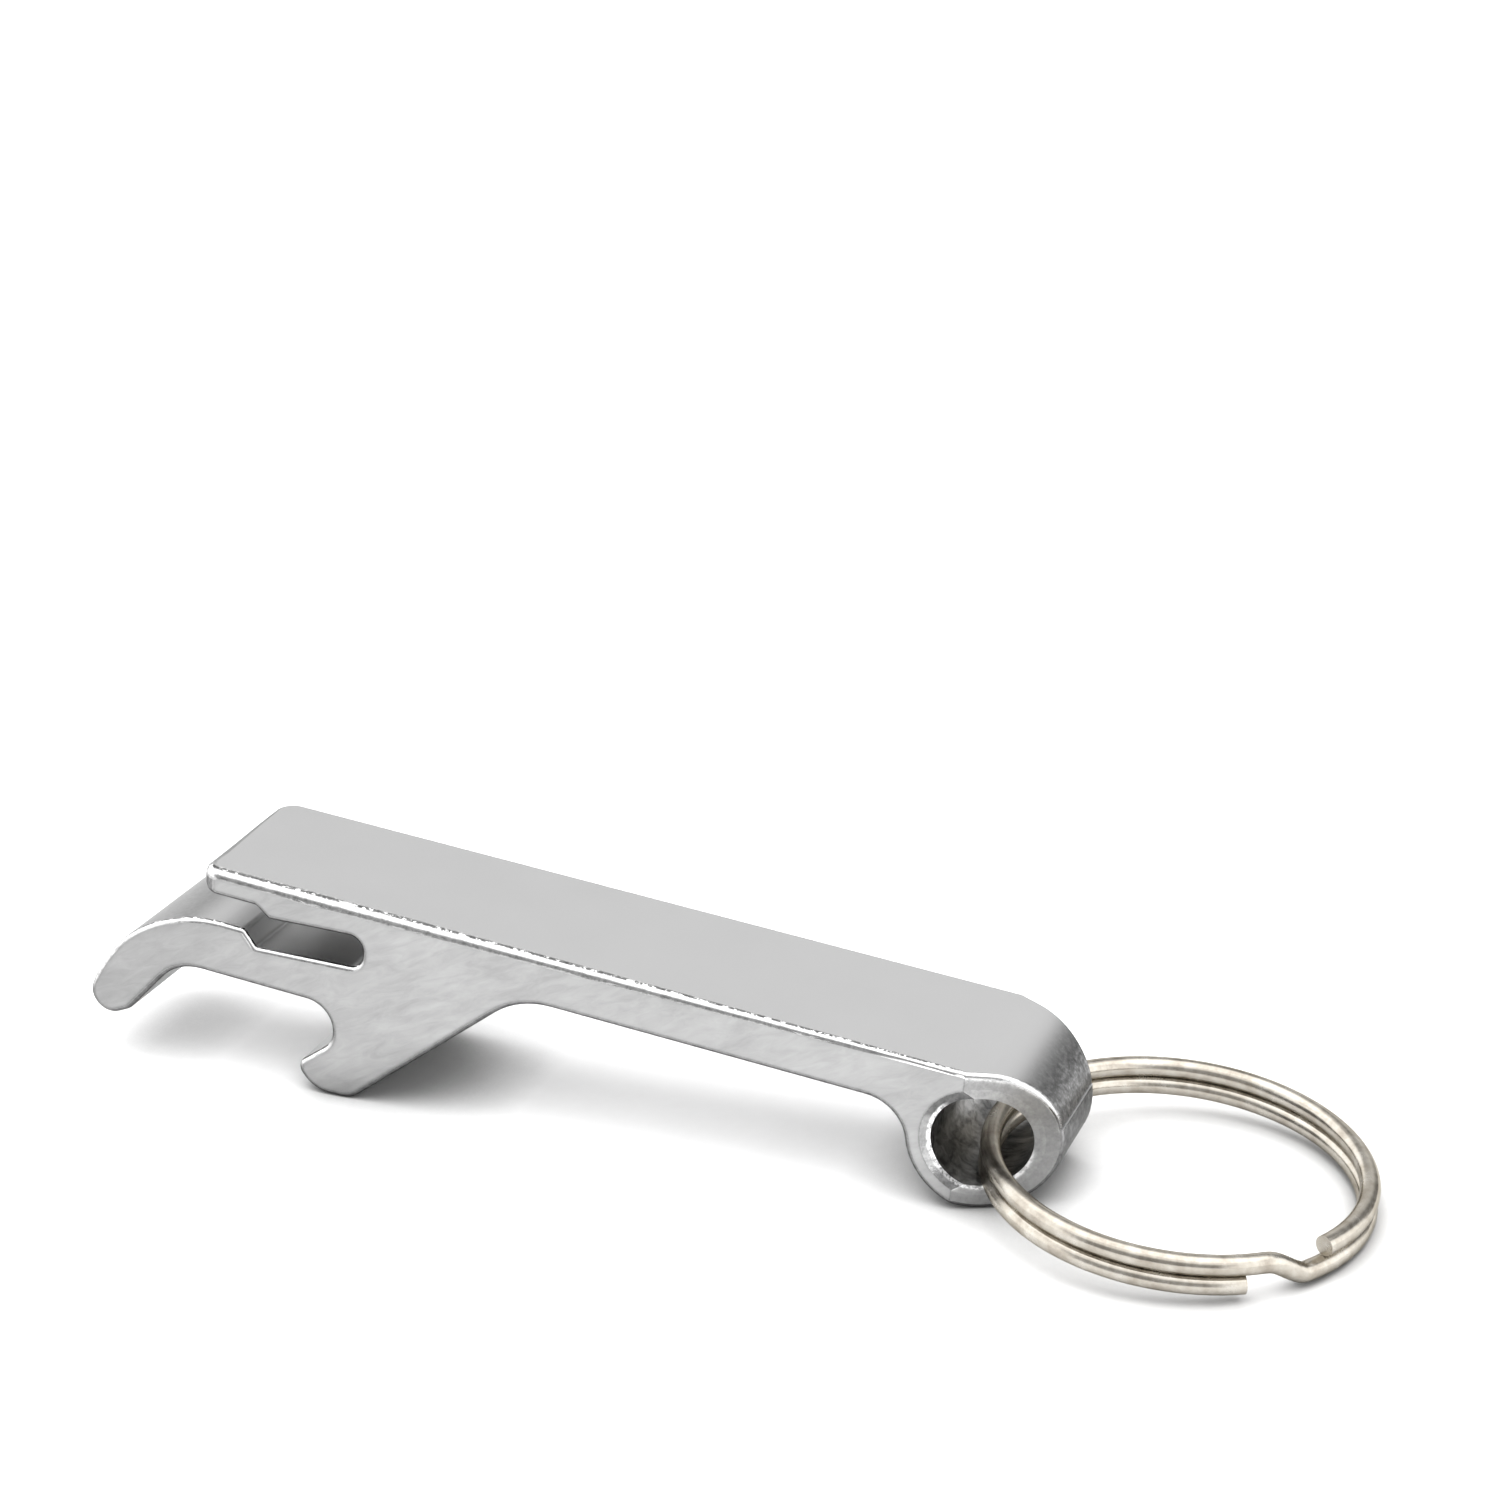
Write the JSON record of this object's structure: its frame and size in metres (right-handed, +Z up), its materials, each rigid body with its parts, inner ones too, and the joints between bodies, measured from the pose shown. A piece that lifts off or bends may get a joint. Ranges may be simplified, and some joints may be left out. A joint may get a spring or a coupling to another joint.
{
  "type": "keychain bottle opener",
  "caption": "Extruded aluminium lever with a crown-cap claw, a can-tab slot and an eye, carrying a two-turn split ring that swings in the eye.",
  "frame": {"origin": "middle of the whole object's footprint, on the surface it stands on, with the ring laid out flat behind the eye", "axes": "+X along the lever from the claw to the ring, +Z up from the bench, +Y across the lever; the lever's top face slopes down 6.2 degrees towards +X, as it stands on its lip and its eye"},
  "size_m": [0.0898, 0.0254, 0.0159],
  "materials": {
    "anodised_aluminium": "tumbled and satin silver anodised",
    "nickel_wire": "bright nickel-plated steel wire"
  },
  "bodies": {
    "opener": {"opener_body": "anodised_aluminium"},
    "ring": {"split_ring": "nickel_wire"}
  },
  "joints": [
    {"name": "ring_swing", "type": "hinge", "parent": "opener", "child": "ring", "pos_m": [0.02076, 0, 0.00471], "axis": [0, -1, 0], "range_deg": [-177, 163]}
  ]
}
